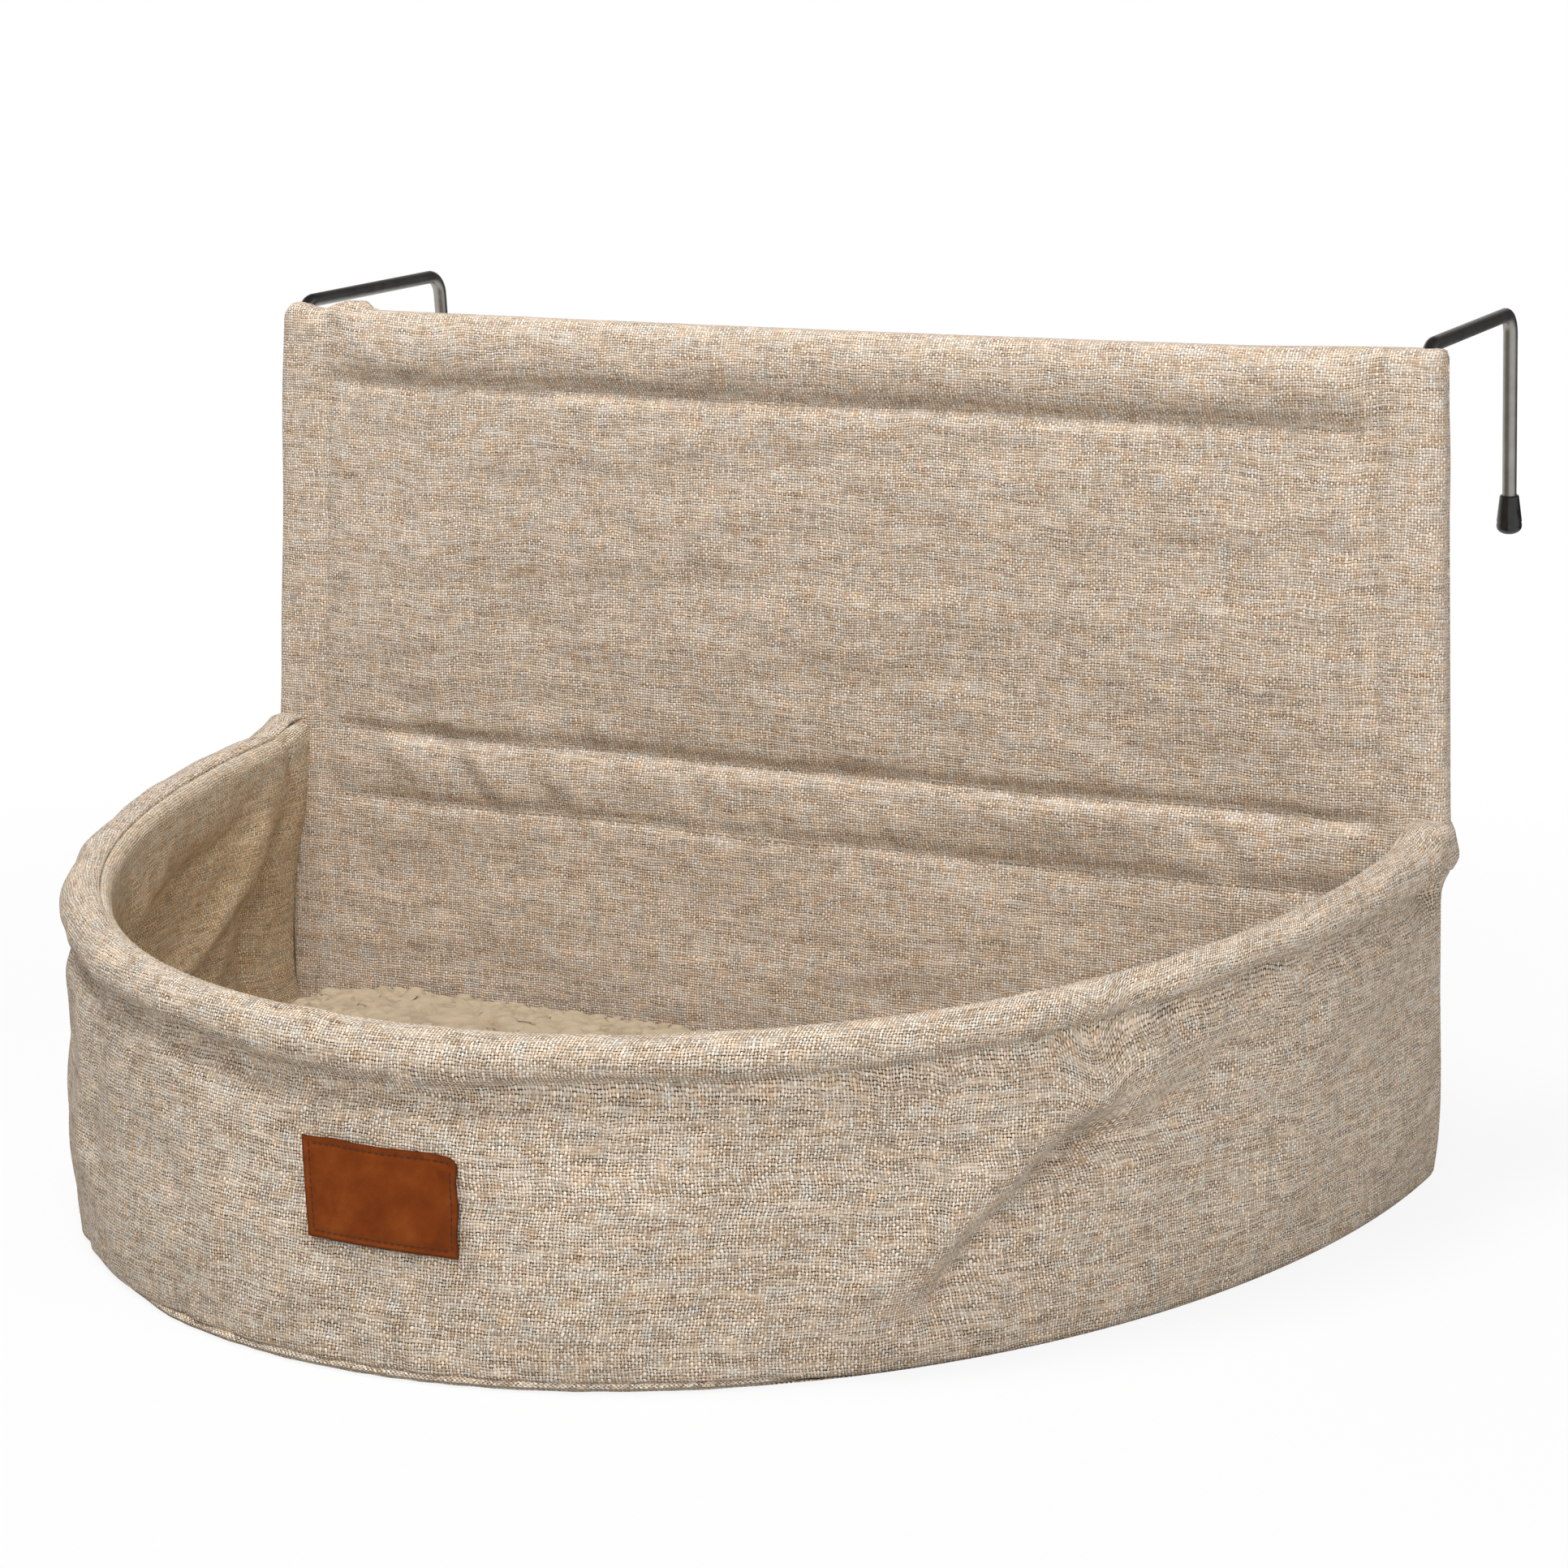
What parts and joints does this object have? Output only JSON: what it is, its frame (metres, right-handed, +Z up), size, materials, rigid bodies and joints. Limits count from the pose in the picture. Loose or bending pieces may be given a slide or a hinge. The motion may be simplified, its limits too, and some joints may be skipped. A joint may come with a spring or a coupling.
{
  "type": "radiator cat bed",
  "caption": "Pet bed that hangs on a radiator: padded backrest with wire hooks, D-shaped basket with a soft rolled rim, and a loose plush cushion.",
  "frame": {"origin": "where the bed hangs: midway between the two hooks, level with the underside of their arms and in the plane of the backrest's rear face", "axes": "+X along the width, +Y back over the radiator, +Z up; the basket points along -Y"},
  "size_m": [0.4636, 0.4339, 0.2864],
  "materials": {
    "zinc": "bright zinc-plated drawn wire",
    "rubber": "smooth black",
    "linen": "flecked plain weave in cream, tan and blue-grey",
    "wadding": "white fibre wadding",
    "foam": "grey foam tube",
    "hardboard": "plain pressed board",
    "leather": "brown, plain, stitched round its edge",
    "plush": "cream curled plush",
    "plain_cloth": "plain cream cloth"
  },
  "bodies": {
    "bed": {"hanger_rod_left": "zinc", "hanger_rod_right": "zinc", "top_cross_rod": "zinc", "rim_cross_rod": "zinc", "base_cross_rod": "zinc", "rim_hoop": "zinc", "hoop_socket_left": "zinc", "hoop_socket_right": "zinc", "end_cap_left": "rubber", "end_cap_right": "rubber", "backrest_front_panel": "linen", "backrest_rear_panel": "linen", "basket_wall_outer": "linen", "basket_wall_lining": "linen", "base_panel": "linen", "base_lining": "linen", "base_piping": "linen", "backrest_upper_wadding": "wadding", "backrest_lower_wadding": "wadding", "basket_wall_wadding": "wadding", "rim_padding": "foam", "base_board": "hardboard", "label_patch": "leather"},
    "cushion": {"cushion_cover_top": "plush", "cushion_cover_bottom": "plain_cloth", "cushion_filling": "wadding"}
  },
  "joints": [
    {"name": "cushion_lift", "type": "slide", "parent": "bed", "child": "cushion", "axis": [0, 0, 1], "range_m": [0, 0.29]}
  ]
}
